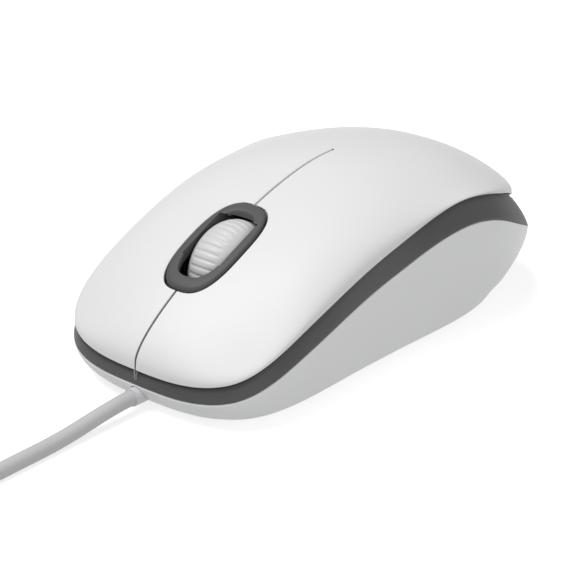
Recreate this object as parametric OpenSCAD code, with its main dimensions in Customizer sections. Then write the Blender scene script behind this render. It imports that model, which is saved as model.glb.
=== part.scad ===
// Corded optical mouse, modelled in millimetres.
// Origin: on the table under the middle of the case. Nose and cable toward -Y,
// palm end toward +Y, up is +Z, and +X is the user's left hand side.

/* [Overall] */
// Length of the case from nose to tail
body_length = 113; // [100:0.5:125]
// Height of the glide feet, which is the gap under the case
foot_height = 0.8; // [0.4:0.1:1.2]
// Wall thickness of the top shells
top_wall = 1.5; // [1.2:0.1:2]
// Wall thickness of the base and the trim band
base_wall = 1.8; // [1.4:0.1:2.4]

/* [Keys] */
// Width of the slit between the two keys
slit_width = 0.6; // [0.4:0.1:1.2]
// Distance behind the middle of the case where the keys bend
hinge_y = 5; // [0:0.5:12]
// Gap between the keys and the trim band at the nose, which is the room for the key travel
key_gap = 0.8; // [0.7:0.1:1.4]
// Gap between the top shells and the trim band behind the keys
back_gap = 0.3; // [0.1:0.1:0.6]

/* [Wheel] */
// Radius of the scroll wheel at its crown
wheel_radius = 10.8; // [10:0.1:11.4]
// Width of the scroll wheel
wheel_width = 9.2; // [8:0.2:9.6]
// Number of ribs on the tyre
rib_count = 40; // [20:2:60]

/* [Cable] */
// Diameter of the cable
cable_diameter = 3.2; // [2.8:0.1:4]
// Mean radius of the coiled spare cable
coil_radius = 18.5; // [16:0.5:24]

/* [Output] */
// Sub-part to draw, or all of them
// Facets around the case
case_steps = 88; // [48:4:120]

/* [Hidden] */
$fn = 48;
hl = body_length / 2;
cr = cable_diameter / 2;
zf = foot_height;
floor_z = zf + 1.6;
board_z = 3.8;
board_t = 1.2;
chip_z = board_z + board_t;

// Stations round the case, from the nose (-90) past the side (0) to the tail (90)
station = [-90, -60, -35, -10, 15, 40, 65, 90];
// The plan outline: a rounded oblong, squarer at the nose and rounder at the tail
squareness = [2.76, 2.7, 2.56, 2.36, 2.16, 1.98, 2.08, 2.3];
function power(p) = at(squareness, p);
function half_width(u) = 29 + 6.3 * u + 14.1 * u * u - 5.7 * u * u * u;
function reach(p) = pow(pow(abs(cos(p)), power(p)) + pow(abs(sin(p)), power(p)), -1 / power(p));
function plan(p, s) = let (r = reach(p) * s, u = sin(p) * r) [half_width(u) * cos(p) * r, hl * u];

band_top = [9, 10.9, 19.6, 27.3, 31, 26.2, 19.4, 17.2];
band_low = [5.6, 6.9, 14.2, 21.2, 25.9, 18.5, 10, 4.3];
// The outline is drawn in by these factors at the top edge of the band and at the foot
top_draw = [0.998, 0.996, 0.989, 0.993, 0.924, 0.922, 0.925, 0.931];
foot_draw = [0.938, 0.932, 0.907, 0.873, 0.84, 0.859, 0.881, 0.882];
// Distance from the middle to the wall, used to turn a thickness into a factor
span = [56, 50, 30, 28.5, 31, 42, 52, 56];
// Height of the back along the centre line
back_at = [-1, -0.75, -0.5, -0.25, 0, 0.3, 0.6, 1];
back_z = [16.3, 23.3, 29.8, 35, 37.8, 37.4, 34.8, 28.1];
// Fall of the back towards the sides, less round the wheel
crown = [0.34, 0.18, 0.125, 0.16, 0.225, 0.228, 0.228, 0.228];

function cubic(xs, vs, x, open = false) = let (
    n = len(xs) - 1,
    i = max(0, min(n - 1, len([for (k = [0:n - 1]) if (xs[k] <= x) 1]) - 1)),
    h = xs[i + 1] - xs[i],
    t = (x - xs[i]) / h,
    m0 = i == 0 ? (open ? (vs[1] - vs[0]) / h : 0) : (vs[i + 1] - vs[i - 1]) / (xs[i + 1] - xs[i - 1]),
    m1 = i == n - 1 ? (open ? (vs[n] - vs[n - 1]) / h : 0) : (vs[i + 2] - vs[i]) / (xs[i + 2] - xs[i]))
    vs[i] * (2 * t * t * t - 3 * t * t + 1) + h * m0 * (t * t * t - 2 * t * t + t)
    + vs[i + 1] * (3 * t * t - 2 * t * t * t) + h * m1 * (t * t * t - t * t);
function fold(p) = p > 90 ? 180 - p : p;
function at(vs, p) = cubic(station, vs, fold(p));

// Height of the top surface over the point x, y
function top_z(x, y) = let (
    u = max(-1, min(1, y / hl)),
    a = abs(x) / half_width(u),
    p = atan2(u, a),
    n = power(p),
    rho = min(1, pow(pow(a, n) + pow(abs(u), n), 1 / n) / at(top_draw, p)),
    pp = 4 + 5 * (1 - sin(p)) / 2,
    d = pow(max(0, 1 - pow(rho, pp)), 1 / 2.42),
    c = cubic(back_at, back_z, u, true) - cubic(back_at, crown, u) * x * x / 31)
    at(band_top, p) * (1 - d) + c * d;
function top_normal(x, y) = let (
    e = 0.15,
    gx = max(-5, min(5, (top_z(x + e, y) - top_z(x - e, y)) / (2 * e))),
    gy = max(-5, min(5, (top_z(x, y + e) - top_z(x, y - e)) / (2 * e))),
    l = sqrt(1 + gx * gx + gy * gy)) [-gx / l, -gy / l, 1 / l];

// Half width of the top shell at y, found by halving the angle range
function edge_angle(y, lo, hi, k) = k == 0 ? (lo + hi) / 2 :
    let (m = (lo + hi) / 2) plan(m, at(top_draw, m))[1] < y ? edge_angle(y, m, hi, k - 1) : edge_angle(y, lo, m, k - 1);
function edge_x(y) = let (p = edge_angle(y, -90, 90, 22)) plan(p, at(top_draw, p))[0];

// Solid between an outer and an inner grid of points with the same rows and columns
function quad(a, b, c, d) = [[a, b, c], [a, c, d]];
module slab(outer, inner) {
    r = len(outer);
    c = len(outer[0]);
    o = r * c;
    pts = concat([for (row = outer) each row], [for (row = inner) each row]);
    faces = concat(
        [for (i = [0:r - 2]) for (j = [0:c - 2]) each quad(i * c + j, (i + 1) * c + j, (i + 1) * c + j + 1, i * c + j + 1)],
        [for (i = [0:r - 2]) for (j = [0:c - 2]) each quad(o + i * c + j, o + i * c + j + 1, o + (i + 1) * c + j + 1, o + (i + 1) * c + j)],
        [for (j = [0:c - 2]) each quad(j, j + 1, o + j + 1, o + j)],
        [for (j = [0:c - 2]) each quad((r - 1) * c + j + 1, (r - 1) * c + j, o + (r - 1) * c + j, o + (r - 1) * c + j + 1)],
        [for (i = [0:r - 2]) each quad((i + 1) * c, i * c, o + i * c, o + (i + 1) * c)],
        [for (i = [0:r - 2]) each quad(i * c + c - 1, (i + 1) * c + c - 1, o + (i + 1) * c + c - 1, o + i * c + c - 1)]);
    polyhedron(pts, faces, convexity = 8);
}
// Solid of rings of points; each ring runs anticlockwise seen from above
module ring_stack(rings, loop) {
    k = len(rings);
    n = len(rings[0]);
    pts = concat([for (r = rings) each r], loop ? [] : [mean(rings[0]), mean(rings[k - 1])]);
    faces = concat(
        [for (i = [0:(loop ? k - 1 : k - 2)]) for (j = [0:n - 1]) let (a = i * n, b = ((i + 1) % k) * n, m = (j + 1) % n) each quad(a + j, b + j, b + m, a + m)],
        loop ? [] : [for (j = [0:n - 1]) [k * n, j, (j + 1) % n]],
        loop ? [] : [for (j = [0:n - 1]) [k * n + 1, (k - 1) * n + (j + 1) % n, (k - 1) * n + j]]);
    polyhedron(pts, faces, convexity = 8);
}
function mean(r) = [for (k = [0:2]) sum([for (q = r) q[k]]) / len(r)];
function sum(v, i = 0) = i >= len(v) ? 0 : v[i] + sum(v, i + 1);
turn = [for (i = [0:case_steps - 1]) -90 + 360 * i / case_steps];

// Tube along a list of points; side points the same way at every ring
function unit(v) = v / norm(v);
module sweep(path, radius, sides, side = [0, 0, 1]) {
    n = len(path);
    rings = [for (i = [0:n - 1]) let (
        t = unit(path[min(n - 1, i + 1)] - path[max(0, i - 1)]),
        a = unit(cross(t, side)),
        b = cross(a, t)) [for (k = [0:sides - 1]) path[i] + radius * (cos(360 * k / sides) * a + sin(360 * k / sides) * b)]];
    ring_stack(rings, false);
}
module box(x, y, z) {
    translate([x[0], y[0], z[0]]) cube([x[1] - x[0], y[1] - y[0], z[1] - z[0]]);
}
module across(x0, x1, r) {
    translate([x0, 0, 0]) rotate([0, 90, 0]) cylinder(h = x1 - x0, r = r);
}

// ---------------------------------------------------------------- top shells
wheel_y = -27.2;
wheel_z = 20.3;
bezel_y = -32.2;
oval = [4.9, 8.8];
// Half width of the opening for the bezel at y
function cut_x(y) = let (a = oval[0] + 2.35, b = oval[1] + 3.1, t = (y - bezel_y) / b)
    abs(t) >= 1 ? 0 : a * pow(1 - pow(abs(t), 2.78), 1 / 2.78);
function shell_point(x, y) = [x, y, top_z(x, y)];
function inner_point(x, y, lo) = let (q = shell_point(x, y) - top_wall * top_normal(x, y))
    [q[0], q[1], max(q[2], lo)];
function lip(y) = at(band_top, edge_angle(y, -90, 90, 22));

key_rows = [-56.3, -56.2, -56, -55.7, -55.3, -54.8, -54.2, -53.4, -52.4, -51, -49.5, -48, -46.5, -45.3,
    -44.4, -44.12, -44.04, -43.8, -43.4, -42.8, -42, -40.8, -39, -36.5, -33.5, -30, -27, -24.8, -23, -22, -21.3, -20.8,
    -20.5, -20.36, -20.2, -18.5, -15, -11, -6, -2, 2, hinge_y - 0.15];
key_cols = 13;
// Point under the key surface: straight down round the wheel opening, along the normal at the nose
function key_inner(x, y, x_low, at_slit) = let (
    n = top_normal(x, y), k = min(1, max(0, (-45 - y) / 4)), q = shell_point(x, y),
    z = q[2] - top_wall * (k * n[2] + (1 - k) / n[2]))
    [at_slit ? x : max(x_low, x - top_wall * n[0]), y - top_wall * n[1] * k, max(z, lip(y))];
function gap_at(y) = back_gap + (key_gap - back_gap) * min(1, max(0, (hinge_y - y) / 50));
function key_grid(inner) = [for (y = key_rows) let (
    x1 = edge_x(y), x0 = min(x1 - 1, max(slit_width / 2, cut_x(y))))
    [for (j = [0:key_cols]) let (t = j / key_cols, x = x0 + (x1 - x0) * (1 - pow(1 - t, 1.8)))
        inner ? key_inner(x, y, x0 + 0.02 * j, j == 0) : shell_point(x, y)]];
key_post = [14, -38];
module key() {
    union() {
        slab(key_grid(false), key_grid(true));
        // Post that presses the switch
        box([key_post[0] - 1.5, key_post[0] + 1.5], [key_post[1] - 1.5, key_post[1] + 1.5], [12.15, top_z(key_post[0] + 1.5, key_post[1] - 1.5) - 0.4]);
    }
}
module left_button() { color([0.93, 0.93, 0.93]) key(); }
module right_button() { color([0.93, 0.93, 0.93]) mirror([1, 0, 0]) key(); }

palm_rows = [hinge_y + 0.15, 8, 12, 17, 22, 27, 31, 35, 38.5, 41.5, 44, 46, 47.6, 48.9, 50, 50.9, 51.6, 52.1, 52.4];
palm_cols = 14;
function palm_grid(inner) = [for (y = palm_rows) let (x1 = edge_x(y))
    [for (j = [-palm_cols:palm_cols]) let (t = abs(j) / palm_cols, x = sign(j) * x1 * (1 - pow(1 - t, 1.8)))
        inner ? inner_point(x, y, lip(y)) : shell_point(x, y)]];
screw_y = 24;
module palm_cover() {
    color([0.93, 0.93, 0.93]) difference() {
        union() {
            slab(palm_grid(false), palm_grid(true));
            // Boss for the case screw
            translate([0, screw_y, 10]) cylinder(h = top_z(0, screw_y + 3) - 10.7, r = 3);
        }
        translate([0, screw_y, 9]) cylinder(h = 13, r = 1.1);
    }
}

// ---------------------------------------------------------------- base and band
// Ring on the base wall, f from 0 at the band to 1 at the foot, drawn in by a thickness t
function base_ring(f, t) = [for (p = turn) let (
    s = 1 - (1 - at(foot_draw, p)) * pow(f, 1.8) - t / at(span, p),
    lo = t > 0 ? floor_z : zf,
    q = plan(p, s)) [q[0], q[1], at(band_low, p) * (1 - f) + lo * f]];
module base_shell() {
    color([0.88, 0.88, 0.88]) difference() {
        union() {
            ring_stack(concat(
                [for (f = [1, 0.85, 0.7, 0.5, 0.3, 0.12, 0]) base_ring(f, 0)],
                [for (f = [0, 0.3, 0.6, 0.85, 1]) base_ring(f, base_wall)]), false);
            // Boss for the case screw and four posts for the circuit board
            translate([0, screw_y, floor_z - 0.4]) cylinder(h = 10 - floor_z + 0.4, r = 3.2);
            for (x = [-16, 16]) for (y = [-26, 6]) translate([x, y, floor_z - 0.4]) {
                cylinder(h = board_z - floor_z + 0.4, r = 2.2);
                cylinder(h = board_z - floor_z + 2.4, r = 1.1);
            }
        }
        // Screw hole with a counterbore
        translate([0, screw_y, 0]) cylinder(h = 12, r = 1.3);
        translate([0, screw_y, 0]) cylinder(h = 3.2, r = 2.8);
        // Window for the sensor
        box([-4.5, 4.5], [-4, 4], [0, 3]);
        // Way out for the cable
        translate([0, -46, 3.2]) rotate([90, 0, 0]) cylinder(h = 12, r = 2);
    }
}
// Ring on the band, f from 0 at its lower edge to 1 at its upper edge
function band_ring(f, t) = [for (p = turn) let (
    s = 1 - (1 - at(top_draw, p) + 0.5 / at(span, p)) * pow(f, 1.4) - t / at(span, p),
    q = plan(p, s)) [q[0], q[1], (at(band_low, p) + 0.03) * (1 - f) + (at(band_top, p) - gap_at(q[1])) * f]];
module trim_band() {
    color([0.3, 0.3, 0.31]) ring_stack(concat(
        [for (f = [0, 0.3, 0.6, 0.85, 1]) band_ring(f, 0)],
        [for (f = [1, 0.5, 0]) band_ring(f, base_wall)]), true);
}

// ---------------------------------------------------------------- wheel surround
// Section of the bezel: how far out from the opening, and how high over the surface
bezel_section = [[0, -1.2], [1.6, -3.8], [4, -3.8], [4, -2.8], [2, -2.8], [2, 0.1], [1.6, 0.55], [0.3, 0.55], [0, 0.35]];
function oval_point(a, r) = let (c = cos(a), s = sin(a))
    [(oval[0] + r) * sign(c) * pow(abs(c), 0.72), bezel_y + (oval[1] + 1.3 * r) * sign(s) * pow(abs(s), 0.72)];
module wheel_bezel() {
    color([0.36, 0.36, 0.37]) difference() {
        ring_stack([for (k = [len(bezel_section) - 1:-1:0]) let (s = bezel_section[k])
            [for (i = [0:47]) let (q = oval_point(7.5 * i, s[0])) [q[0], q[1], top_z(q[0], q[1]) + s[1]]]], true);
        // Clearance round the wheel
        translate([0, wheel_y, wheel_z]) across(-5.1, 5.1, wheel_radius + 0.5);
    }
}

// ---------------------------------------------------------------- scroll wheel
hub_r = 8.6;
module wheel_tyre() {
    h = wheel_width / 2;
    color([0.9, 0.9, 0.9]) translate([0, wheel_y, wheel_z]) difference() {
        rotate([0, 90, 0]) rotate_extrude() polygon(concat([[hub_r, -h]],
            [for (k = [-10:10]) [wheel_radius - 1.95 * pow(abs(k) / 10, 2.6), h * k / 10]], [[hub_r, h]]));
        for (i = [0:rib_count - 1]) rotate([360 * i / rib_count, 0, 0]) translate([0, 0, wheel_radius]) box([-h + 1.4, h - 1.4], [-0.25, 0.25], [-0.25, 1]);
    }
}
module wheel_hub() {
    color([0.85, 0.85, 0.86]) translate([0, wheel_y, wheel_z]) difference() {
        rotate([0, 90, 0]) rotate_extrude() polygon([[1.5, -5.4], [3, -5.4], [3, -1], [7.6, -1], [7.6, -4.2], [hub_r, -4.2],
            [hub_r, 4.2], [7.6, 4.2], [7.6, 1], [3, 1], [3, 5.4], [1.5, 5.4]]);
        for (i = [0:17]) rotate([20 * i, 0, 0]) box([-2, 2], [-0.5, 0.5], [4.2, 7.2]);
    }
}
module wheel_axle() {
    color([0.7, 0.7, 0.72]) translate([0, wheel_y, wheel_z]) across(-7.5, 7.5, 1.5);
}
module wheel_carriage() {
    color([0.2, 0.2, 0.21]) difference() {
        union() {
            for (s = [-1, 1]) box([min(s * 6, s * 7.4), max(s * 6, s * 7.4)], [wheel_y - 2.9, wheel_y + 2.9], [7.4, wheel_z + 2.9]);
            box([-7.4, 7.4], [-33, -23], [7.4, 8.7]);
            box([-2.5, 2.5], [-34.6, -32], [7.4, 9.9]);
            box([-2.5, 2.5], [-42.4, -33], [9.2, 9.9]);
        }
        translate([0, wheel_y, wheel_z]) across(-9, 9, 1.55);
    }
}
module wheel_guide() {
    color([0.2, 0.2, 0.21]) difference() {
        union() {
            box([-10, 10], [-36, -20], [chip_z, chip_z + 1]);
            for (s = [-1, 1]) box([min(s * 7.9, s * 9.7), max(s * 7.9, s * 9.7)], [-29.1, -27.1], [chip_z, top_z(8.8, -29) - 3.4]);
        }
        box([-7, 7], [-34, -22], [chip_z - 1, chip_z + 2]);
    }
}
module carriage_spring() {
    color([0.7, 0.7, 0.72]) sweep([for (i = [0:36]) let (a = 360 * i / 12) [2.3 * cos(a), -28 + 2.3 * sin(a), chip_z + 0.3 + (7.4 - chip_z - 0.6) * i / 36]], 0.28, 6);
}

// ---------------------------------------------------------------- circuit board and what is on it
module circuit_board() {
    color([0.1, 0.35, 0.2]) translate([0, 0, board_z]) linear_extrude(board_t) difference() {
        polygon([[-16, -46], [16, -46], [19, -42], [20, -10], [20, 12], [-20, 12], [-20, -10], [-19, -42]]);
        for (x = [-16, 16]) for (y = [-26, 6]) translate([x, y]) circle(r = 1.2);
        translate([0, 1.5]) square([5, 3], center = true);
    }
}
module left_switch() { color([0.15, 0.15, 0.15]) left_switch_shape(); }
module left_switch_shape() {
    difference() {
        box([key_post[0] - 2.9, key_post[0] + 2.9], [key_post[1] - 6.4, key_post[1] + 6.4], [chip_z, chip_z + 6.5]);
        translate([key_post[0], key_post[1], chip_z + 5]) cylinder(h = 3, r = 1.15);
    }
}
module right_switch() { color([0.15, 0.15, 0.15]) mirror([1, 0, 0]) left_switch_shape(); }
module plunger_shape() {
    translate([key_post[0], key_post[1], chip_z + 5.7]) cylinder(h = 1.4, r = 1);
}
module left_plunger() { color([0.8, 0.2, 0.2]) plunger_shape(); }
module right_plunger() { color([0.8, 0.2, 0.2]) mirror([1, 0, 0]) plunger_shape(); }
module wheel_switch() {
    color([0.5, 0.5, 0.5]) difference() {
        box([-3, 3], [-42.5, -36.5], [chip_z, chip_z + 3.5]);
        translate([0, -39.5, chip_z + 2.4]) cylinder(h = 3, r = 1.75);
    }
}
module wheel_plunger() { color([0.15, 0.15, 0.15]) translate([0, -39.5, chip_z + 3]) cylinder(h = 1.15, r = 1.6); }
module optic_shape() {
    union() {
        box([10.8, 13.2], [-23.8, -19.4], [18.5, 24]);
        for (y = [-22.9, -20.3]) translate([12, y, chip_z]) cylinder(h = 14, r = 0.3);
    }
}
module light_emitter() { color([0.85, 0.87, 0.9, 0.6]) optic_shape(); }
module light_detector() { color([0.12, 0.1, 0.12]) mirror([1, 0, 0]) optic_shape(); }
module sensor_chip() {
    color([0.12, 0.12, 0.12]) union() {
        box([-5, 5], [-4.6, 4.6], [chip_z, chip_z + 3]);
        for (s = [-1, 1]) for (y = [-3:2:3]) box([min(s * 4.9, s * 6.2), max(s * 4.9, s * 6.2)], [y - 0.3, y + 0.3], [chip_z, chip_z + 0.5]);
    }
}
module sensor_lens() {
    color([0.9, 0.95, 0.95, 0.5]) union() {
        box([-6, 6], [-6, 11], [floor_z, board_z]);
        translate([0, 0, 1.3]) cylinder(h = 1.5, r = 3);
    }
}
module sensor_led() {
    color([0.9, 0.25, 0.2]) union() {
        translate([0, 8, 9]) rotate([-90, 0, 0]) cylinder(h = 6, r = 2.5);
        translate([0, 14, 9]) rotate([-90, 0, 0]) cylinder(h = 1, r = 2.9);
    }
}
module led_clip() {
    color([0.12, 0.12, 0.12]) difference() {
        box([-4, 4], [6.5, 13.9], [chip_z, 12.6]);
        translate([0, 7.9, 9]) rotate([-90, 0, 0]) cylinder(h = 8, r = 2.5);
        translate([0, 6, 9]) rotate([-90, 0, 0]) cylinder(h = 4, r = 1.8);
    }
}
module capacitor() { color([0.1, 0.1, 0.35]) translate([-12, -6, chip_z]) cylinder(h = 7, r = 2.5); }
module crystal_can() { color([0.75, 0.75, 0.77]) translate([12, -8, chip_z]) linear_extrude(3.5) hull() { translate([0, -3]) circle(r = 2.2); translate([0, 3]) circle(r = 2.2); } }
module cable_header() {
    color([0.85, 0.8, 0.65]) difference() {
        box([-10.6, -3.6], [-45.6, -41.4], [chip_z, chip_z + 4]);
        box([-10, -4.2], [-47, -42], [chip_z + 0.8, chip_z + 5]);
    }
}
module cable_connector() { color([0.95, 0.95, 0.95]) box([-9.9, -4.3], [-45.6, -42.1], [chip_z + 0.8, chip_z + 3.8]); }
module lead_wires() {
    for (i = [0:3]) color([0.3 + 0.2 * i, 0.3, 0.8 - 0.2 * i]) let (a = -0.9 + 0.6 * i, b = -9 + 1.3 * i)
        sweep([[a, -50, 3.2], [a - 0.3, -49.4 + 0.25 * i, 3.6 + 0.3 * i], [(a + b) / 2, -48.9 + 0.45 * i, 5 + 0.3 * i], [b + 0.3, -47.2, 6.7], [b, -46.4, 7], [b, -45.6, 7]], 0.24, 6, [0, 0.3, 1]);
}

// ---------------------------------------------------------------- underside
module front_glide() {
    color([0.25, 0.25, 0.26]) linear_extrude(zf) hull() { translate([-11, -43]) circle(r = 3); translate([11, -43]) circle(r = 3); }
}
module rear_glide() {
    color([0.25, 0.25, 0.26]) linear_extrude(zf) hull() { translate([-10, 42]) circle(r = 3); translate([10, 42]) circle(r = 3); }
}
module case_screw() {
    color([0.6, 0.6, 0.62]) difference() {
        translate([0, screw_y, 0]) union() {
            translate([0, 0, 1.2]) cylinder(h = 2, r = 2.4);
            translate([0, 0, 3]) cylinder(h = 15, r = 1.1);
        }
        translate([0, screw_y, 1]) union() {
            box([-1.6, 1.6], [-0.35, 0.35], [-1, 1.1]);
            box([-0.35, 0.35], [-1.6, 1.6], [-1, 1.1]);
        }
    }
}
module rating_label() {
    color([0.8, 0.8, 0.8]) translate([0, 0, zf - 0.15]) linear_extrude(0.15) hull() for (x = [-11, 11]) for (y = [30, 35.5]) translate([x, y]) circle(r = 1.5);
}

// ---------------------------------------------------------------- cable, coil and plug
coil = [-coil_radius - 5.8, -120];
module strain_relief() {
    color([0.8, 0.8, 0.8]) difference() {
        translate([0, -50, 3.2]) rotate([90, 0, 0]) cylinder(h = 7.8, r1 = 1.98, r2 = 1.85);
        translate([0, -48, 3.2]) rotate([90, 0, 0]) cylinder(h = 11, r = cr);
    }
}
module cable() {
    color([0.85, 0.85, 0.85]) sweep([[0, -50, 3.2], [0, -54, 3.2], [0, -58, 3.2], [0, -62, 3.1], [0, -66, 2.8], [0, -70, 2.4], [0, -74, 2], [0, -78, 1.75],
        [0, -82, 1.65], [0, -86, 1.65], [0, -91, 1.65], [0, -96, 1.65], [0, -101, 1.65], [0, -106, 1.65], [0, -110, 1.65], [0, -113, 1.65]], cr, 8);
}
module cable_coil() {
    color([0.85, 0.85, 0.85]) translate([coil[0], coil[1], 0]) rotate_extrude() translate([coil_radius, 0])
        polygon([[-5, 0], [5, 0], [6.8, 0.8], [7.5, 2.5], [7.5, 10.7], [6.8, 12.4], [5, 13.2], [-5, 13.2], [-6.8, 12.4], [-7.5, 10.7], [-7.5, 2.5], [-6.8, 0.8]]);
}
plug_at = [-56.5, -93.4];
plug_turn = 15;
module plug_lead() {
    color([0.85, 0.85, 0.85]) sweep([[-48.6, -123, 11.5], [-49.4, -120, 11.4], [-50.2, -117, 11], [-51.2, -113.3, 10], [-52.4, -108.9, 8.2], [-53.7, -104.1, 6.3], [-55, -99.2, 4.8], [-56, -95.5, 4.1], [plug_at[0], plug_at[1], 4]], cr, 8);
}
module in_plug() { translate([plug_at[0], plug_at[1], 4]) rotate([0, 0, plug_turn]) children(); }
module plug_body() {
    color([0.85, 0.85, 0.85]) in_plug() difference() {
        hull() {
            translate([0, 3, 0]) rotate([-90, 0, 0]) linear_extrude(20) offset(r = 1.5) square([11.5, 4.8], center = true);
            rotate([-90, 0, 0]) cylinder(h = 1, r = 2.6);
        }
        translate([0, -1, 0]) rotate([-90, 0, 0]) cylinder(h = 4, r = cr);
        box([-6, 6], [20, 24], [-2.25, 2.25]);
    }
}
module plug_shell() {
    color([0.75, 0.75, 0.77]) in_plug() difference() {
        box([-6, 6], [20, 35], [-2.25, 2.25]);
        box([-5.7, 5.7], [20.3, 36], [-1.95, 1.95]);
        for (x = [-2.6, 2.6]) box([x - 1.25, x + 1.25], [28, 30.3], [1, 3]);
    }
}
module plug_tongue() { color([0.95, 0.95, 0.95]) in_plug() box([-5.7, 5.7], [20.3, 34.2], [-1.95, 0]); }
module plug_contacts() {
    color([0.85, 0.7, 0.3]) in_plug() union() {
        box([-4.2, 4.2], [20.3, 21], [0, 0.2]);
        for (x = [-3.5, -1, 1, 3.5]) box([x - 0.5, x + 0.5], [20.5, 33.4], [0, 0.2]);
    }
}
module cable_tie() {
    color([0.12, 0.12, 0.12]) translate([coil[0], coil[1], 0]) rotate([0, 0, -62]) translate([coil_radius, 0, 0]) difference() {
        box([-8.4, 8.4], [-2, 2], [0, 13.9]);
        box([-7.2, 7.2], [-3, 3], [0.6, 12.9]);
    }
}

palm_cover();
left_button();
right_button();
trim_band();
base_shell();
wheel_bezel();
wheel_tyre();
wheel_hub();
wheel_axle();
wheel_carriage();
wheel_guide();
carriage_spring();
circuit_board();
left_switch();
right_switch();
left_plunger();
right_plunger();
wheel_switch();
wheel_plunger();
light_emitter();
light_detector();
sensor_chip();
sensor_lens();
sensor_led();
led_clip();
capacitor();
crystal_can();
cable_header();
cable_connector();
lead_wires();
front_glide();
rear_glide();
case_screw();
rating_label();
strain_relief();
cable();
cable_coil();
plug_lead();
plug_body();
plug_shell();
plug_tongue();
plug_contacts();
cable_tie();
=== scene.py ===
import math

import bmesh
import bpy
import numpy as np
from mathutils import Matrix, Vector


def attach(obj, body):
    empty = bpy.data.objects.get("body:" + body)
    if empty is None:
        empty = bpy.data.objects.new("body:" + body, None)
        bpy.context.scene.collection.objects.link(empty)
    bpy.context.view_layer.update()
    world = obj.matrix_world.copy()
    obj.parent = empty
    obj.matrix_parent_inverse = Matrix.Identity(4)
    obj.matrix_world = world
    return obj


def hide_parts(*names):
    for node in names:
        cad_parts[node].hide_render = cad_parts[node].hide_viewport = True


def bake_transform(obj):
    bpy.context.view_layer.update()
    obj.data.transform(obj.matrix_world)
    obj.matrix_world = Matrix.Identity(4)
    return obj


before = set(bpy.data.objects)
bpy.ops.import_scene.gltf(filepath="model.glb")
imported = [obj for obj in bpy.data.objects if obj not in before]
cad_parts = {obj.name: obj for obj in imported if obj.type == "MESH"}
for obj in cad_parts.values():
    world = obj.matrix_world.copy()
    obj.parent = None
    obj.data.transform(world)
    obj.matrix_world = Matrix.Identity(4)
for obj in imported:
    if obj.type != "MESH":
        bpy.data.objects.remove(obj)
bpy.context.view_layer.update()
scene = bpy.context.scene
MM = 0.001

# ------------------------------------------------------------------ camera
AZ, EL, DIST = math.radians(40.42), math.radians(24.12), 0.400
TARGET = Vector((4.86, -16.51, 15.0)) * MM
back = Vector((math.sin(AZ) * math.cos(EL), -math.cos(AZ) * math.cos(EL), math.sin(EL)))
cam_data = bpy.data.cameras.new("camera")
cam_data.lens, cam_data.sensor_width = 121.17, 36.0
cam_data.clip_start, cam_data.clip_end = 0.01, 10.0
cam = bpy.data.objects.new("camera", cam_data)
cam.location = TARGET + back * DIST
cam.rotation_euler = back.to_track_quat("Z", "Y").to_euler()
scene.collection.objects.link(cam)
scene.camera = cam

# ------------------------------------------------------------------ the same shape as part.scad, in millimetres
HL = 56.5
STATION = np.array([-90, -60, -35, -10, 15, 40, 65, 90.0])
SQUARE = [2.76, 2.7, 2.56, 2.36, 2.16, 1.98, 2.08, 2.3]
BAND_TOP = [9, 10.9, 19.6, 27.3, 31, 26.2, 19.4, 17.2]
BAND_LOW = [5.6, 6.9, 14.2, 21.2, 25.9, 18.5, 10, 4.3]
TOP_DRAW = [0.998, 0.996, 0.989, 0.993, 0.924, 0.922, 0.925, 0.931]
FOOT_DRAW = [0.938, 0.932, 0.907, 0.873, 0.84, 0.859, 0.881, 0.882]
SPAN = [56, 50, 30, 28.5, 31, 42, 52, 56]
BACK_AT = np.array([-1, -0.75, -0.5, -0.25, 0, 0.3, 0.6, 1.0])
BACK_Z = [16.3, 23.3, 29.8, 35, 37.8, 37.4, 34.8, 28.1]
CROWN = [0.34, 0.18, 0.125, 0.16, 0.225, 0.228, 0.228, 0.228]
FOOT, FLOOR_Z, CHIP_Z = 0.8, 2.4, 5.0
HINGE_Y, KEY_GAP, BACK_GAP, SLIT = 5.0, 0.8, 0.3, 0.4
WHEEL = (0.0, -27.2, 20.3)
WHEEL_R, WHEEL_W, RIBS = 10.8, 9.2, 40
BEZEL_Y, OVAL = -32.2, (4.9, 8.8)
CABLE_D = 3.2
COIL, COIL_R = (-24.3, -120.0), 18.5
PLUG_AT, PLUG_TURN = (-56.5, -93.4), math.radians(15)
SCREW_Y = 24.0


def cubic(xs, vs, x, free=False):
    xs, vs, x = np.asarray(xs, float), np.asarray(vs, float), np.asarray(x, float)
    n = len(xs) - 1
    i = np.clip(np.searchsorted(xs, x, side="right") - 1, 0, n - 1)
    h = xs[i + 1] - xs[i]
    t = (x - xs[i]) / h
    m = np.zeros(n + 1)
    m[1:-1] = (vs[2:] - vs[:-2]) / (xs[2:] - xs[:-2])
    if free:
        m[0], m[-1] = (vs[1] - vs[0]) / (xs[1] - xs[0]), (vs[-1] - vs[-2]) / (xs[-1] - xs[-2])
    return (vs[i] * (2 * t**3 - 3 * t**2 + 1) + h * m[i] * (t**3 - 2 * t**2 + t)
            + vs[i + 1] * (3 * t**2 - 2 * t**3) + h * m[i + 1] * (t**3 - t**2))


def at(vs, p):
    p = np.asarray(p, float)
    return cubic(STATION, vs, np.where(p > 90, 180 - p, p))


def half_width(u):
    return 29 + 6.3 * u + 14.1 * u * u - 5.7 * u**3


def plan(p, s):
    """Point of the plan outline at station p (degrees), scaled by s."""
    a = np.radians(p)
    n = at(SQUARE, p)
    r = (np.abs(np.cos(a)) ** n + np.abs(np.sin(a)) ** n) ** (-1 / n) * s
    u = np.sin(a) * r
    return half_width(u) * np.cos(a) * r, HL * u


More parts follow.
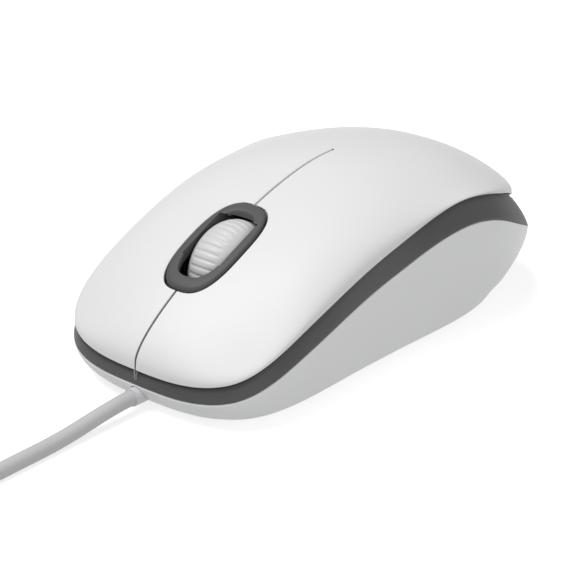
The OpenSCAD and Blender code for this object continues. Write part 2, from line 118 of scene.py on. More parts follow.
def top_z(x, y):
    x, y = np.asarray(x, float), np.asarray(y, float)
    u = np.clip(y / HL, -1, 1)
    a = np.abs(x) / half_width(u)
    p = np.degrees(np.arctan2(u, a))
    n = at(SQUARE, p)
    rho = np.minimum(1, (a**n + np.abs(u) ** n) ** (1 / n) / at(TOP_DRAW, p))
    pp = 4 + 5 * (1 - np.sin(np.radians(p))) / 2
    d = np.maximum(0, 1 - rho**pp) ** (1 / 2.42)
    c = cubic(BACK_AT, BACK_Z, u, True) - cubic(BACK_AT, CROWN, u) * x * x / 31
    return at(BAND_TOP, p) * (1 - d) + c * d


def top_normal(x, y, e=0.06):
    gx = (top_z(x + e, y) - top_z(x - e, y)) / (2 * e)
    gy = (top_z(x, y + e) - top_z(x, y - e)) / (2 * e)
    n = np.stack([-gx, -gy, np.ones_like(gx)], -1)
    return n / np.linalg.norm(n, axis=-1, keepdims=True)


def gap_at(y):
    return BACK_GAP + (KEY_GAP - BACK_GAP) * np.clip((HINGE_Y - y) / 50, 0, 1)


def station_at(y):
    """Station of the top edge at y, on the +X side."""
    lo, hi = np.full_like(y, -90.0), np.full_like(y, 90.0)
    for _ in range(40):
        m = (lo + hi) / 2
        below = plan(m, at(TOP_DRAW, m))[1] < y
        lo, hi = np.where(below, m, lo), np.where(below, hi, m)
    return (lo + hi) / 2


# ------------------------------------------------------------------ mesh helpers
def mesh_object(name, verts, faces, normals=None, angle=35.0):
    me = bpy.data.meshes.new(name)
    me.from_pydata([tuple(float(c) * MM for c in v) for v in verts], [], faces)
    me.validate()
    me.shade_smooth()
    if normals is None:
        me.set_sharp_from_angle(angle=math.radians(angle))
    else:
        me.normals_split_custom_set(normals)
    ob = bpy.data.objects.new(name, me)
    scene.collection.objects.link(ob)
    return ob


def rings_object(name, rings, loop=False, caps=True, angle=35.0):
    """Closed rings of points, joined; caps close the two ends with a fan."""
    k, n = len(rings), len(rings[0])
    verts = [v for r in rings for v in r]
    faces = []
    for i in range(k if loop else k - 1):
        a, b = i * n, ((i + 1) % k) * n
        for j in range(n):
            m = (j + 1) % n
            faces.append((a + j, a + m, b + m, b + j))
    if caps and not loop:
        verts.append(np.mean(rings[0], 0))
        verts.append(np.mean(rings[-1], 0))
        c0, c1 = k * n, k * n + 1
        for j in range(n):
            m = (j + 1) % n
            faces.append((c0, m, j))
            faces.append((c1, (k - 1) * n + j, (k - 1) * n + m))
    ob = mesh_object(name, verts, faces, angle=angle)
    fix_normals(ob, angle)
    return ob


def fix_normals(ob, angle=35.0):
    bm = bmesh.new()
    bm.from_mesh(ob.data)
    bmesh.ops.recalc_face_normals(bm, faces=bm.faces)
    bm.to_mesh(ob.data)
    bm.free()
    ob.data.shade_smooth()
    ob.data.set_sharp_from_angle(angle=math.radians(angle))


def revolve(name, profile, axis_x=True, steps=128, centre=(0, 0, 0), angle=30.0):
    """Profile of (along, radius) turned about X through centre, or about Z."""
    rings = []
    for k in range(steps):
        t = 2 * math.pi * k / steps
        c, s = math.cos(t), math.sin(t)
        if axis_x:
            rings.append([(a + centre[0], r * c + centre[1], r * s + centre[2]) for a, r in profile])
        else:
            rings.append([(r * c + centre[0], r * s + centre[1], a + centre[2]) for a, r in profile])
    return rings_object(name, rings, loop=True, angle=angle)


def bevelled(ob, width, segments=3, angle=30):
    m = ob.modifiers.new("bevel", "BEVEL")
    m.width, m.segments, m.limit_method, m.angle_limit = width * MM, segments, "ANGLE", math.radians(angle)
    m.harden_normals = False
    return ob


def cut(ob, cutters, keep_angle=35.0):
    """Booleans the cutters out of ob, and bakes the result into its mesh."""
    for c in cutters:
        m = ob.modifiers.new("cut", "BOOLEAN")
        m.operation, m.object, m.solver = "DIFFERENCE", c, "EXACT"
    dg = bpy.context.evaluated_depsgraph_get()
    me = bpy.data.meshes.new_from_object(ob.evaluated_get(dg))
    ob.modifiers.clear()
    old = ob.data
    ob.data = me
    bpy.data.meshes.remove(old)
    for c in cutters:
        bpy.data.objects.remove(c, do_unlink=True)
    me.shade_smooth()
    me.set_sharp_from_angle(angle=math.radians(keep_angle))
    return ob


def prism(name, outline, z0, z1):
    n = len(outline)
    verts = [(x, y, z0) for x, y in outline] + [(x, y, z1) for x, y in outline]
    faces = [tuple(reversed(range(n))), tuple(range(n, 2 * n))]
    faces += [(i, (i + 1) % n, n + (i + 1) % n, n + i) for i in range(n)]
    ob = mesh_object(name, verts, faces)
    fix_normals(ob)
    return ob


def rounded(w, h, r, n=8, cx=0.0, cy=0.0):
    pts = []
    for sx, sy, a0 in ((1, 1, 0), (-1, 1, 90), (-1, -1, 180), (1, -1, 270)):
        for k in range(n + 1):
            a = math.radians(a0 + 90 * k / n)
            pts.append((cx + sx * (w / 2 - r) + r * math.cos(a), cy + sy * (h / 2 - r) + r * math.sin(a)))
    return pts


def circle(r, n=48, cx=0.0, cy=0.0):
    return [(cx + r * math.cos(2 * math.pi * k / n), cy + r * math.sin(2 * math.pi * k / n)) for k in range(n)]


# ------------------------------------------------------------------ materials
def material(name, color, rough=0.4, specular=0.5, metallic=0.0, coat=0.0, coat_rough=0.1, tint=0.04, grain=900.0,
             bump=0.02, rough_var=0.06, streak=None, transmission=0.0, sub=0.0, ior=1.46, scale2=60.0):
    """Moulded or brushed surface: fine texture in colour, roughness and bump, in object space."""
    m = bpy.data.materials.new(name)
    m.use_nodes = True
    nt = m.node_tree
    bs = nt.nodes["Principled BSDF"]
    bs.inputs["Metallic"].default_value = metallic
    bs.inputs["Specular IOR Level"].default_value = specular
    bs.inputs["IOR"].default_value = ior
    bs.inputs["Coat Weight"].default_value = coat
    bs.inputs["Coat Roughness"].default_value = coat_rough
    bs.inputs["Transmission Weight"].default_value = transmission
    bs.inputs["Subsurface Weight"].default_value = sub
    bs.inputs["Subsurface Radius"].default_value = (0.004, 0.004, 0.004)
    bs.inputs["Subsurface Scale"].default_value = 0.5
    co = nt.nodes.new("ShaderNodeTexCoord")
    mp = nt.nodes.new("ShaderNodeMapping")
    nt.links.new(co.outputs["Object"], mp.inputs["Vector"])
    if streak:
        mp.inputs["Scale"].default_value = streak
    fine = nt.nodes.new("ShaderNodeTexNoise")
    fine.inputs["Scale"].default_value = grain
    fine.inputs["Detail"].default_value = 3.0
    wide = nt.nodes.new("ShaderNodeTexNoise")
    wide.inputs["Scale"].default_value = scale2
    wide.inputs["Detail"].default_value = 4.0
    nt.links.new(mp.outputs["Vector"], fine.inputs["Vector"])
    nt.links.new(co.outputs["Object"], wide.inputs["Vector"])
    ramp = nt.nodes.new("ShaderNodeValToRGB")
    lo = [max(0.0, c * (1 - tint)) for c in color[:3]] + [1.0]
    hi = [min(1.0, c * (1 + tint)) for c in color[:3]] + [1.0]
    ramp.color_ramp.elements[0].color, ramp.color_ramp.elements[1].color = lo, hi
    ramp.color_ramp.elements[0].position, ramp.color_ramp.elements[1].position = 0.3, 0.7
    nt.links.new(wide.outputs["Fac"], ramp.inputs["Fac"])
    nt.links.new(ramp.outputs["Color"], bs.inputs["Base Color"])
    rr = nt.nodes.new("ShaderNodeMapRange")
    rr.inputs["To Min"].default_value = max(0.02, rough - rough_var)
    rr.inputs["To Max"].default_value = min(1.0, rough + rough_var)
    nt.links.new(fine.outputs["Fac"], rr.inputs["Value"])
    nt.links.new(rr.outputs["Result"], bs.inputs["Roughness"])
    bp = nt.nodes.new("ShaderNodeBump")
    bp.inputs["Strength"].default_value = bump
    bp.inputs["Distance"].default_value = 0.00005
    nt.links.new(fine.outputs["Fac"], bp.inputs["Height"])
    nt.links.new(bp.outputs["Normal"], bs.inputs["Normal"])
    return m


MAT = {
    "shell_white": material("shell_white", (0.8, 0.8, 0.8), rough=0.4, specular=0.45, tint=0.006, grain=2600, bump=0.03),
    # base_white is set lighter than shell_white as painted light: the raise brightens the base's vertical sides, which
    # get less light than the top
    "base_white": material("base_white", (0.86, 0.865, 0.87), rough=0.4, specular=0.45, tint=0.008, grain=2200, bump=0.05),
    "band_grey": material("band_grey", (0.085, 0.085, 0.087), rough=0.5, specular=0.4, tint=0.03, grain=3000, bump=0.12),
    "bezel_grey": material("bezel_grey", (0.085, 0.085, 0.087), rough=0.5, specular=0.4, tint=0.03, grain=3000, bump=0.12),
    "wheel_silver": material("wheel_silver", (0.66, 0.66, 0.665), rough=0.34, specular=0.5, tint=0.01, grain=1800, bump=0.04),
    "hub_plastic": material("hub_plastic", (0.7, 0.7, 0.71), rough=0.4, tint=0.015),
    "steel": material("steel", (0.6, 0.6, 0.61), rough=0.28, metallic=1.0, tint=0.04, grain=700, streak=(1, 12, 1)),
    "black_plastic": material("black_plastic", (0.02, 0.02, 0.021), rough=0.45, tint=0.08, bump=0.1),
    "board_green": material("board_green", (0.02, 0.16, 0.07), rough=0.3, coat=0.3, tint=0.12, scale2=300, grain=1200),
    "plunger_red": material("plunger_red", (0.55, 0.05, 0.04), rough=0.4, tint=0.05),
    "clear_plastic": material("clear_plastic", (0.9, 0.93, 0.95), rough=0.08, transmission=0.9, tint=0.01, rough_var=0.03),
    "led_red": material("led_red", (0.7, 0.05, 0.03), rough=0.12, transmission=0.5, tint=0.03, rough_var=0.04),
    "capacitor_sleeve": material("capacitor_sleeve", (0.03, 0.04, 0.16), rough=0.25, coat=0.4, tint=0.05),
    "header_nylon": material("header_nylon", (0.75, 0.72, 0.6), rough=0.5, sub=0.1, tint=0.03),
    "wire_jacket": material("wire_jacket", (0.5, 0.28, 0.25), rough=0.4, tint=0.35, scale2=400),
    "glide_grey": material("glide_grey", (0.1, 0.1, 0.105), rough=0.22, tint=0.05, grain=1500),
    "label_grey": material("label_grey", (0.66, 0.66, 0.67), rough=0.5, tint=0.02, grain=3500, bump=0.06),
    "cable_jacket": material("cable_jacket", (0.56, 0.56, 0.57), rough=0.45, tint=0.02, grain=2500, bump=0.06),
    "plug_plastic": material("plug_plastic", (0.66, 0.66, 0.67), rough=0.45, tint=0.015, grain=2500, bump=0.08),
    "plug_steel": material("plug_steel", (0.72, 0.72, 0.73), rough=0.22, metallic=1.0, tint=0.03, grain=900, streak=(14, 1, 1)),
    "tongue_white": material("tongue_white", (0.8, 0.8, 0.8), rough=0.5, tint=0.02),
    "contact_gold": material("contact_gold", (0.85, 0.62, 0.22), rough=0.25, metallic=1.0, tint=0.04),
    "tie_black": material("tie_black", (0.02, 0.02, 0.02), rough=0.6, tint=0.1, bump=0.15),
}


def finish_piece(ob, slot, body="case"):
    ob.data.materials.clear()
    ob.data.materials.append(MAT[slot])
    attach(ob, body)
    return ob


# ------------------------------------------------------------------ cable, first
CR = CABLE_D / 2


def smooth_path(pts, step):
    """Catmull-Rom through pts, resampled at about step millimetres."""
    p = np.array(pts, float)
    p = np.vstack([2 * p[0] - p[1], p, 2 * p[-1] - p[-2]])
    out = []
    for i in range(1, len(p) - 2):
        n = max(2, int(np.linalg.norm(p[i + 1] - p[i]) / step) + 1)
        for t in np.linspace(0, 1, n, endpoint=False):
            out.append(0.5 * (2 * p[i] + (p[i + 1] - p[i - 1]) * t + (2 * p[i - 1] - 5 * p[i] + 4 * p[i + 1] - p[i + 2]) * t**2
                              + (-p[i - 1] + 3 * p[i] - 3 * p[i + 1] + p[i + 2]) * t**3))
    out.append(p[-2])
    return np.array(out)


run = [(0, -50, 3.2), (0, -54, 3.2), (0, -58, 3.2), (0, -62, 3.1), (0, -66, 2.8), (0, -70, 2.4), (0, -74, 2), (0, -78, 1.75),
       (0, -82, 1.65), (0, -86, 1.65), (0, -91, 1.65), (0, -96, 1.65), (0, -101, 1.65), (0, -106, 1.65), (0, -110, 1.65),
       (0, -114, 1.65), (0, -117, 1.65)]
PITCH = 3.3
TURNS = 14 + 165 / 360
per_layer = (TURNS - 0.5) / 4
r_out = COIL_R + per_layer * PITCH / 2
coil_pts = []
for k in range(int(TURNS * 48) + 1):
    t = min(TURNS, k / 48)
    # four layers of a flat spiral: in, out, in, out, each joined to the next by a rise over 60 degrees
    rest, layer = t, 0
    while layer < 3 and rest > per_layer + 1 / 6:
        rest -= per_layer + 1 / 6
        layer += 1
    inward = layer % 2 == 0
    f = min(1.0, rest / per_layer)
    r = r_out - per_layer * PITCH * (f if inward else 1 - f)
    rise = max(0.0, (rest - per_layer) * 6) if layer < 3 else 0.0
    rise = rise * rise * (3 - 2 * rise)
    a = -2 * math.pi * t
    coil_pts.append((COIL[0] + r * math.cos(a), COIL[1] + r * math.sin(a), 1.65 + PITCH * (layer + rise)))
lead = [(-48.6, -123, 11.5), (-49.4, -120, 11.4), (-50.2, -117, 11), (-51.2, -113.3, 10), (-52.4, -108.9, 8.2), (-53.7, -104.1, 6.3),
        (-55, -99.2, 4.8), (-56, -95.5, 4.1), (PLUG_AT[0], PLUG_AT[1], 4)]
route = np.vstack([smooth_path(run, 1.5)[:-1], smooth_path(np.array([run[-1]] + coil_pts[::2] + lead), 2.0)])
cu = bpy.data.curves.new("cable_line", "CURVE")
cu.dimensions = "3D"
cu.bevel_depth, cu.bevel_resolution = CR * MM, 6
cu.use_fill_caps = True
cu.resolution_u = 1
sp = cu.splines.new("POLY")
sp.points.add(len(route) - 1)
for q, v in zip(sp.points, route):
    q.co = (v[0] * MM, v[1] * MM, v[2] * MM, 1.0)
sp.use_smooth = True
cable = bpy.data.objects.new("cable_line", cu)
scene.collection.objects.link(cable)
cable.data.materials.append(MAT["cable_jacket"])
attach(cable, "case")
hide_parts("cable", "cable_coil", "plug_lead")


def in_plug(x, y, z):
    c, s = math.cos(PLUG_TURN), math.sin(PLUG_TURN)
    return (PLUG_AT[0] + x * c - y * s, PLUG_AT[1] + x * s + y * c, 4 + z)


# plug moulding: a lofted grip with a tapered neck and shallow finger ribs
def grip_ring(y, w, h, r, n=10):
    return [in_plug(x, y, z) for x, z in rounded(w, h, r, n)]


grip = [(0.0, 5.0, 5.0, 2.45), (0.4, 5.4, 5.4, 2.6), (2.2, 8.6, 6.4, 2.6), (3.4, 12.6, 7.2, 2.2), (4.4, 14.0, 7.7, 1.9), (5.4, 14.4, 7.8, 1.7)]
for k in range(4):
    y = 7.2 + 2.1 * k
    grip += [(y, 14.4, 7.8, 1.7), (y + 0.35, 13.7, 7.5, 1.6), (y + 0.8, 13.7, 7.5, 1.6), (y + 1.15, 14.4, 7.8, 1.7)]
grip += [(16.5, 14.4, 7.8, 1.7), (21.6, 14.3, 7.7, 1.6), (22.7, 14.0, 7.4, 1.5), (23.0, 13.4, 6.8, 1.3)]
plug = rings_object("plug_grip", [grip_ring(*g) for g in grip], angle=50)
cutter = rings_object("plug_bore", [[in_plug(x, y, z) for x, z in circle(CR, 32)] for y in (-2, 3)])
pocket = rings_object("plug_pocket", [[in_plug(x, y, z) for x, z in rounded(12.05, 4.55, 0.4, 4)] for y in (20, 24)])
cut(plug, [cutter, pocket], 50)
finish_piece(plug, "plug_plastic")
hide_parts("plug_body")

# tie: a strap with rounded edges round the coil
tie_a = math.radians(-62)
ti = (COIL[0] + COIL_R * math.cos(tie_a), COIL[1] + COIL_R * math.sin(tie_a))


def in_tie(r, s, z):
    return (ti[0] + r * math.cos(tie_a) - s * math.sin(tie_a), ti[1] + r * math.sin(tie_a) + s * math.cos(tie_a), z)


tie_rings = []
for px, pz in rounded(16.4, 13.8, 3.0, 8):
    tie_rings.append((px, pz))
tie_inner = rounded(15.2, 12.7, 2.5, 8)
strap = []
for (ox, oz), (ix, iz) in zip(tie_rings, tie_inner):
    strap.append([in_tie(ox, -1.8, oz + 6.95), in_tie((ox + ix) / 2, -2.0, (oz + iz) / 2 + 6.95),
                  in_tie(ix, -1.8, iz + 6.95), in_tie(ix, 1.8, iz + 6.95), in_tie((ox + ix) / 2, 2.0, (oz + iz) / 2 + 6.95), in_tie(ox, 1.8, oz + 6.95)])
tie = rings_object("tie_strap", strap, loop=True, angle=60)
finish_piece(tie, "tie_black")
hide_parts("cable_tie")

# ------------------------------------------------------------------ top shells
ROUND = [(0.02, 0.1), (0.09, 0.2), (0.2, 0.27), (0.33, 0.3)]
WALL = 1.5


def outer_edge(stations):
    s = at(TOP_DRAW, stations)
    e = 0.5
    ex, ey = plan(stations, s)
    ax, ay = plan(stations - e, at(TOP_DRAW, stations - e))
    bx, by = plan(stations + e, at(TOP_DRAW, stations + e))
    tx, ty = bx - ax, by - ay
    l = np.hypot(tx, ty)
    return ex, ey, ty / l, -tx / l


def half_shell(inner, stations, nt, slit_wall):
    """Rows from the inner line to the outer edge and back under it: a closed section of one half of a top shell.

    inner holds the (x, y) of each row's inner end, stations the station of its outer end."""
    ni = len(stations)
    ex, ey, ox, oy = outer_edge(stations)
    sx, sy = inner[:, 0], inner[:, 1]
    dx, dy = ex - sx, ey - sy
    length = np.maximum(np.hypot(dx, dy), 1e-6)
    wx, wy = -dx / length, -dy / length
    tau = 1 - (1 - np.linspace(0, 1, nt)) ** 2.4
    start = np.minimum(0.3 / length, 0.3) if slit_wall else np.zeros(ni)
    f = start[:, None] + (1 - start[:, None]) * tau[None, :]
    x, y = sx[:, None] + dx[:, None] * f, sy[:, None] + dy[:, None] * f
    z, nrm = top_z(x, y), top_normal(x, y)
    flat = np.zeros(ni)
    edge_n = np.stack([ox, oy, flat], -1)
    downward = np.tile(np.array([0, 0, -1.0]), (ni, 1))
    cols, norms = [], []
    if slit_wall:
        zs = top_z(sx, sy)
        side = np.stack([wx, wy, flat], -1)
        for dz in (2.4, 1.0, 0.3):
            cols.append(np.stack([sx, sy, zs - dz], -1))
            norms.append(side)
        for w, (a, b) in ((0.33, (0.06, 0.12)), (0.66, (0.16, 0.04))):
            v = side * (1 - w) + nrm[:, 0] * w
            cols.append(np.stack([sx - wx * np.minimum(a, length * 0.1), sy - wy * np.minimum(a, length * 0.1), zs - b], -1))
            norms.append(v / np.linalg.norm(v, axis=-1, keepdims=True))
    for j in range(nt):
        cols.append(np.stack([x[:, j], y[:, j], z[:, j]], -1))
        norms.append(nrm[:, j] if j < nt - 1 else edge_n)
    low = z[:, -1]
    for k, (a, b) in enumerate(ROUND):
        w = (k + 1) / len(ROUND) * math.pi / 2
        cols.append(np.stack([ex - ox * a, ey - oy * a, low - b], -1))
        norms.append(edge_n * math.cos(w) + downward * math.sin(w))
    cols.append(np.stack([ex - ox * 1.4, ey - oy * 1.4, low - 0.3], -1))
    norms.append(downward)
    # the underside, from the edge back to the inner line
    ux, uy = ex - ox * 1.6, ey - oy * 1.6
    vx, vy = (sx - wx * np.minimum(1.3, length / 2), sy - wy * np.minimum(1.3, length / 2)) if slit_wall else (sx, sy)
    for g in (0.0, 0.03, 0.08, 0.16, 0.3, 0.45, 0.6, 0.8, 1.0):
        qx, qy = ux + (vx - ux) * g, uy + (vy - uy) * g
        n = top_normal(qx, qy)
        qz = np.maximum(top_z(qx, qy) - WALL / np.maximum(n[:, 2], 0.6), low - 0.28)
        cols.append(np.stack([qx, qy, qz], -1))
        norms.append(downward if g else -edge_n)
    if slit_wall:
        cols.append(np.stack([vx, vy, np.minimum(top_z(sx, sy) - 2.4, cols[-1][:, 2])], -1))
        norms.append(downward)
    return np.stack(cols, 1), np.stack(norms, 1)


def tube_object(name, grid, norms):
    """Closed shell whose rows are closed sections; the first and last row are capped."""
    ni, nj = grid.shape[:2]
    verts, nv = grid.reshape(-1, 3), norms.reshape(-1, 3)
    faces = []
    for i in range(ni - 1):
        for j in range(nj):
            k = (j + 1) % nj
            faces.append((i * nj + j, (i + 1) * nj + j, (i + 1) * nj + k, i * nj + k))
    tri = np.array([f[:3] for f in faces])
    fn = np.cross(verts[tri[:, 1]] - verts[tri[:, 0]], verts[tri[:, 2]] - verts[tri[:, 0]])
    turned = (fn * nv[tri[:, 0]]).sum() < 0
    if turned:
        faces = [tuple(reversed(f)) for f in faces]
    first, last = list(range(nj)), [(ni - 1) * nj + j for j in range(nj)]
    caps = (first if turned else first[::-1], last[::-1] if turned else last)
    me = bpy.data.meshes.new(name)
    me.from_pydata((verts * MM).tolist(), [], faces + [tuple(c) for c in caps])
    att = me.attributes.new("n", "FLOAT_VECTOR", "POINT")
    att.data.foreach_set("vector", nv.astype(np.float32).ravel())
    me.shade_smooth()
    bm = bmesh.new()
    bm.from_mesh(me)
    bmesh.ops.remove_doubles(bm, verts=bm.verts, dist=3e-6)
    bmesh.ops.dissolve_degenerate(bm, edges=bm.edges, dist=1e-6)
    big = [f for f in bm.faces if len(f.verts) > 4]
    bmesh.ops.triangulate(bm, faces=big)
    bm.to_mesh(me)
    bm.free()
    me.validate()
    n = np.empty(len(me.vertices) * 3, np.float32)
    me.attributes["n"].data.foreach_get("vector", n)
    n = n.reshape(-1, 3)
    n /= np.maximum(np.linalg.norm(n, axis=1, keepdims=True), 1e-9)
    me.attributes.remove(me.attributes["n"])
    me.normals_split_custom_set_from_vertices(n.tolist())
    ob = bpy.data.objects.new(name, me)
    scene.collection.objects.link(ob)
    return ob


def cut_half(y):
    """Half width of the opening for the bezel at y."""
    a, b = OVAL[0] + 2.35, OVAL[1] + 3.1
    t = np.clip(np.abs(y - BEZEL_Y) / b, 0, 1)
    return np.where(t >= 1, 0, a * (1 - t**2.78) ** (1 / 2.78))


def spaced(points, count):
    """The line through points, resampled into count equal steps."""
    d = np.concatenate([[0], np.cumsum(np.hypot(*np.diff(points, axis=0).T))])
    t = np.linspace(0, d[-1], count)
    return np.stack([np.interp(t, d, points[:, 0]), np.interp(t, d, points[:, 1])], -1)


def edge_stations(lo, hi, shares):
    dense = np.linspace(lo, hi, 1600)
    px, py = plan(dense, at(TOP_DRAW, dense))
    arc = np.concatenate([[0], np.cumsum(np.hypot(np.diff(px), np.diff(py)))])
    return np.interp(np.asarray(shares) * arc[-1], arc, dense)


hinge_station = float(station_at(np.array([HINGE_Y]))[0])
nose_y = -HL * TOP_DRAW[0]
b = OVAL[1] + 3.1
a = np.linspace(0, math.pi, 400)
oy_ = BEZEL_Y - b * np.sign(np.cos(a)) * np.abs(np.cos(a)) ** 0.72
path = np.stack([np.maximum(SLIT / 2, cut_half(oy_)), oy_], -1)
path[0, 0] = path[-1, 0] = SLIT / 2
front = np.array([[SLIT / 2, nose_y], [SLIT / 2, BEZEL_Y - b]])
rear = np.array([[SLIT / 2, BEZEL_Y + b], [SLIT / 2, HINGE_Y]])
inner_line = np.vstack([spaced(front, 40)[:-1], spaced(path, 84)[:-1], spaced(rear, 56)])
walk = np.concatenate([[0], np.cumsum(np.hypot(*np.diff(inner_line, axis=0).T))])
shares = (walk / walk[-1])
key_stations = edge_stations(-89.6, hinge_station, shares)
key_grid, key_norms = half_shell(inner_line, key_stations, 64, True)
FLIP = np.array([-1, 1, 1.0])


def make_key(name, side, node):
    m = np.array([side, 1, 1.0])
    ob = tube_object(name, key_grid * m, key_norms * m)
    ob.data.materials.append(MAT["shell_white"])
    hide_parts(node)
    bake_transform(ob)
    return ob


left_key = make_key("left_key_shell", 1, "left_button")
right_key = make_key("right_key_shell", -1, "right_button")

tail_y = HL * TOP_DRAW[-1] - 0.02
pf = np.linspace(0, 1, 110)
palm_y = HINGE_Y + (tail_y - HINGE_Y) * (1 - (1 - pf) ** 1.5)
palm_stations = edge_stations(hinge_station, 89.9, 1 - (1 - pf) ** 1.25)
centre = np.stack([np.zeros_like(palm_y), palm_y], -1)
g, n = half_shell(centre, palm_stations, 60, False)
grid = np.concatenate([g, (g * FLIP)[:, ::-1][:, 1:-1]], 1)
norms = np.concatenate([n, (n * FLIP)[:, ::-1][:, 1:-1]], 1)
palm = tube_object("palm_shell", grid, norms)
finish_piece(palm, "shell_white")
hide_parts("palm_cover")

# ------------------------------------------------------------------ band and base
N = 320
TURN = np.linspace(-90, 270, N, endpoint=False)
FOLD = np.where(TURN > 90, 180 - TURN, TURN)


def centre_out(p, s):
    """Unit outward direction of the outline at each station."""
    e = 0.4
    ax, ay = plan(p - e, s)
    bx, by = plan(p + e, s)
    tx, ty = bx - ax, by - ay
    l = np.hypot(tx, ty)
    return ty / l, -tx / l


OUT = centre_out(TURN, 1.0)


def wall_ring(p, s, z, inset=0.0):
    x, y = plan(p, s)
    return np.stack([x - OUT[0] * inset, y - OUT[1] * inset, z], -1)


def band_scale(f):
    return 1 - (1 - at(TOP_DRAW, TURN) + 0.5 / at(SPAN, TURN)) * f**1.4


low, high = at(BAND_LOW, TURN), None
hx, hy = plan(TURN, band_scale(1.0))
high = at(BAND_TOP, TURN) - gap_at(hy)


def band_ring(f, inset, dz=0.0):
    return wall_ring(TURN, band_scale(f), low * (1 - f) + high * f + dz, inset)


r = 0.3
rings = [band_ring(0.0, 0.55), band_ring(0.0, 0.16, 0.02), band_ring(0.0, 0.04, 0.12), band_ring(0.0, 0.0, 0.28)]
rings += [band_ring(f, 0.0) for f in (0.15, 0.3, 0.45, 0.6, 0.75, 0.88)]
rings += [band_ring(1.0, 0.0, -0.3), band_ring(1.0, 0.04, -0.14), band_ring(1.0, 0.14, -0.04), band_ring(1.0, 0.3, 0.0), band_ring(1.0, 1.5, 0.0),
          band_ring(1.0, 1.75, -0.2), band_ring(0.5, 1.8), band_ring(0.0, 1.8, 0.1), band_ring(0.0, 1.7, 0.0)]
band = rings_object("side_band", rings, loop=True, angle=60)
finish_piece(band, "band_grey")
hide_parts("trim_band")


def base_scale(f):
    return 1 - (1 - at(FOOT_DRAW, TURN)) * f**1.8


def base_wall(f, inset, dz=0.0, foot=FOOT):
    return wall_ring(TURN, base_scale(f), low * (1 - f) + foot * f + dz, inset)


rings = []
foot_r = 1.0
for k in range(5):
    a = math.pi / 2 * k / 4
    rings.append(base_wall(1.0, foot_r * (1 - math.sin(a)), foot_r * (1 - math.cos(a))))
for f in (0.8, 0.65, 0.5, 0.35, 0.22, 0.1):
    rings.append(base_wall(f, 0.0))
rings += [base_wall(0.0, 0.0, -0.32), base_wall(0.0, 0.05, -0.12), base_wall(0.0, 0.18, -0.03), base_wall(0.0, 0.5, 0.0), base_wall(0.0, 1.6, 0.0),
          base_wall(0.0, 1.8, -0.2)]
for f in (0.3, 0.6, 0.85, 1.0):
    rings.append(base_wall(f, 1.8, 0.0, FLOOR_Z))
under = base_wall(1.0, foot_r + 0.6, 0.0)
mid = under * np.array([0.5, 0.5, 1.0])
rings = [mid, under] + rings
floor_in = rings[-1] * np.array([0.5, 0.5, 1.0])
rings.append(floor_in)
base = rings_object("base_tray", rings, angle=40)
cutters = [
    prism("c1", circle(2.8, 48, 0, SCREW_Y), -1, 3.2),
    prism("c2", rounded(9, 8, 1.2, 6), -1, 4),
    rings_object("c3", [[(x, y, z + 3.2) for x, z in circle(2.05, 40)] for y in (-62, -46)]),
    # shallow wells that the glides sit in
    prism("c4", rounded(28.8, 6.8, 3.4, 12, 0, -43), -1, FOOT + 0.18),
    prism("c5", rounded(26.8, 6.8, 3.4, 12, 0, 42), -1, FOOT + 0.18),
]
cut(base, cutters, 35)
bm = bmesh.new()
bm.from_mesh(base.data)
bm.free()
finish_piece(base, "base_white")
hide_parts("base_shell")

# ------------------------------------------------------------------ wheel surround
NB = 200


def oval_ring(rr, h):
    out = []
    for k in range(NB):
        a = 2 * math.pi * k / NB
        c, s = math.cos(a), math.sin(a)
        x = (OVAL[0] + rr) * math.copysign(abs(c) ** 0.72, c)
        y = BEZEL_Y + (OVAL[1] + 1.3 * rr) * math.copysign(abs(s) ** 0.72, s)
        out.append((x, y, float(top_z(x, y)) + h))
    return out


section = [(0.0, -1.2), (0.0, -0.5), (0.0, 0.1), (0.04, 0.3), (0.14, 0.45), (0.3, 0.53), (0.55, 0.55), (0.9, 0.55), (1.3, 0.55), (1.58, 0.52),
           (1.78, 0.43), (1.93, 0.27), (2.0, 0.0), (2.0, -0.5), (2.0, -1.2), (2.0, -2.7), (2.2, -2.8), (3.8, -2.8), (4.0, -2.95), (4.0, -3.65), (3.8, -3.8),
           (1.7, -3.8)]
bezel = rings_object("wheel_surround", [oval_ring(a, h) for a, h in section], loop=True, angle=50)
disc = revolve("c6", [(-5.1, 0.5), (-5.1, WHEEL_R + 0.5), (5.1, WHEEL_R + 0.5), (5.1, 0.5)], True, 160, WHEEL, 30)
cut(bezel, [disc], 50)
finish_piece(bezel, "bezel_grey")
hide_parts("wheel_bezel")

# ------------------------------------------------------------------ wheel
W = WHEEL_W / 2
SUB = 10
CROWN_DROP = 1.95
tyre_profile = [(-W + 0.25, 8.6), (-W + 0.02, 8.62)]
for k in range(-20, 21):
    u = math.copysign(abs(k / 20) ** 0.85, k)
    tyre_profile.append((u * W, WHEEL_R - CROWN_DROP * abs(u) ** 2.6))
tyre_profile += [(W - 0.02, 8.62), (W - 0.25, 8.6)]
rings = []
for k in range(RIBS * SUB):
    t = 2 * math.pi * k / (RIBS * SUB)
    ph = (k % SUB) / SUB
    # narrow grooves across the tread, fading out before the edges
    g0 = math.exp(-(((ph - 0.5) / 0.17) ** 2))
    ring = []
    for a, rr in tyre_profile:
        fade = min(1.0, max(0.0, (W - 1.2 - abs(a)) / 1.0))
        d = rr - 0.2 * g0 * fade * fade * (3 - 2 * fade)
        ring.append((a + WHEEL[0], d * math.sin(t) + WHEEL[1], d * math.cos(t) + WHEEL[2]))
    rings.append(ring)
tyre = rings_object("wheel_tread", rings, loop=True, angle=40)
finish_piece(tyre, "wheel_silver", "wheel")
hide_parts("wheel_tyre")

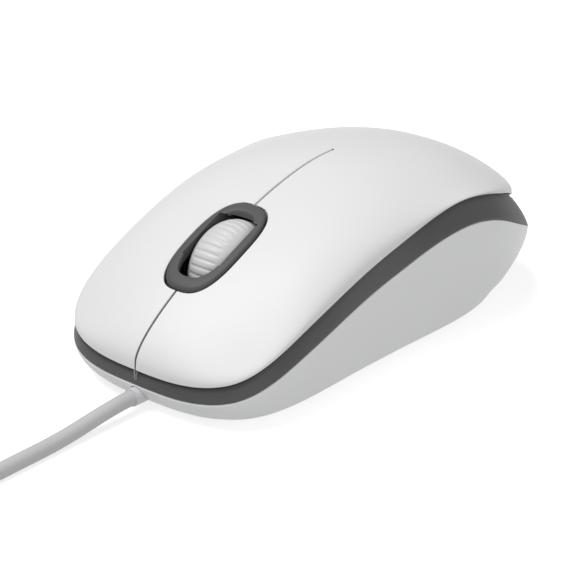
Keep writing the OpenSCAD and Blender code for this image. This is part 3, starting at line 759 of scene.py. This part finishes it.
# ------------------------------------------------------------------ the CAD nodes that stay
KEEP = {
    "wheel_hub": ("hub_plastic", 0.12), "wheel_axle": ("steel", 0.15), "wheel_carriage": ("black_plastic", 0.2), "wheel_guide": ("black_plastic", 0.2),
    "carriage_spring": ("steel", 0), "circuit_board": ("board_green", 0.06), "left_switch": ("black_plastic", 0.2), "right_switch": ("black_plastic", 0.2),
    "left_plunger": ("plunger_red", 0.15), "right_plunger": ("plunger_red", 0.15), "wheel_switch": ("steel", 0.15), "wheel_plunger": ("black_plastic", 0.15),
    "light_emitter": ("clear_plastic", 0.1), "light_detector": ("black_plastic", 0.1), "sensor_chip": ("black_plastic", 0.06), "sensor_lens": ("clear_plastic", 0.1),
    "sensor_led": ("led_red", 0.15), "led_clip": ("black_plastic", 0.2), "capacitor": ("capacitor_sleeve", 0.25), "crystal_can": ("steel", 0.25),
    "cable_header": ("header_nylon", 0.1), "cable_connector": ("header_nylon", 0.1), "lead_wires": ("wire_jacket", 0), "front_glide": ("glide_grey", 0.15),
    "rear_glide": ("glide_grey", 0.15), "case_screw": ("steel", 0.08), "rating_label": ("label_grey", 0.04), "strain_relief": ("plug_plastic", 0.1),
    "plug_shell": ("plug_steel", 0.08), "plug_tongue": ("tongue_white", 0.08), "plug_contacts": ("contact_gold", 0.03),
}
for name, (slot, width) in KEEP.items():
    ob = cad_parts[name]
    ob.data.materials.clear()
    ob.data.materials.append(MAT[slot])
    for poly in ob.data.polygons:
        poly.material_index = 0
    if width:
        bevelled(ob, width, 2, 35)
    ob.data.shade_smooth()
    ob.data.set_sharp_from_angle(angle=math.radians(32))

# ------------------------------------------------------------------ floor and light
floor_mat = material("floor", (0.9, 0.9, 0.9), rough=0.6, specular=0.15, tint=0.004, grain=300, bump=0.0)
floor_shader = floor_mat.node_tree.nodes["Principled BSDF"]
floor_shader.inputs["Emission Color"].default_value = (1, 1, 1, 1)
floor_shader.inputs["Emission Strength"].default_value = 0.5
bm = bmesh.new()
bmesh.ops.create_grid(bm, x_segments=4, y_segments=4, size=3.0)
me = bpy.data.meshes.new("floor")
bm.to_mesh(me)
bm.free()
floor = bpy.data.objects.new("floor", me)
floor.location = (0, 0, 0)
floor.data.materials.append(floor_mat)
scene.collection.objects.link(floor)
floor.visible_diffuse = False

world = bpy.data.worlds.new("world") if scene.world is None else scene.world
scene.world = world
world.use_nodes = True
world.node_tree.nodes["Background"].inputs["Color"].default_value = (1, 1, 1, 1)
world.node_tree.nodes["Background"].inputs["Strength"].default_value = 0.42


def area(name, loc, target, size, power, size_y=None):
    ld = bpy.data.lights.new(name, "AREA")
    ld.energy = power
    ld.size = size
    if size_y:
        ld.shape, ld.size_y = "RECTANGLE", size_y
    lo = bpy.data.objects.new(name, ld)
    lo.location = loc
    d = Vector(loc) - Vector(target)
    lo.rotation_euler = d.to_track_quat("Z", "Y").to_euler()
    scene.collection.objects.link(lo)
    return lo


area("key_light", (-0.25, -0.26, 0.85), (0, 0, 0), 0.6, 5.2)
area("fill_light", (0.8, -0.5, 0.4), (0, 0, 0.02), 0.7, 2.2)
scene.view_settings.view_transform = "Standard"
scene.view_settings.look = "None"
scene.view_settings.exposure = 0.0

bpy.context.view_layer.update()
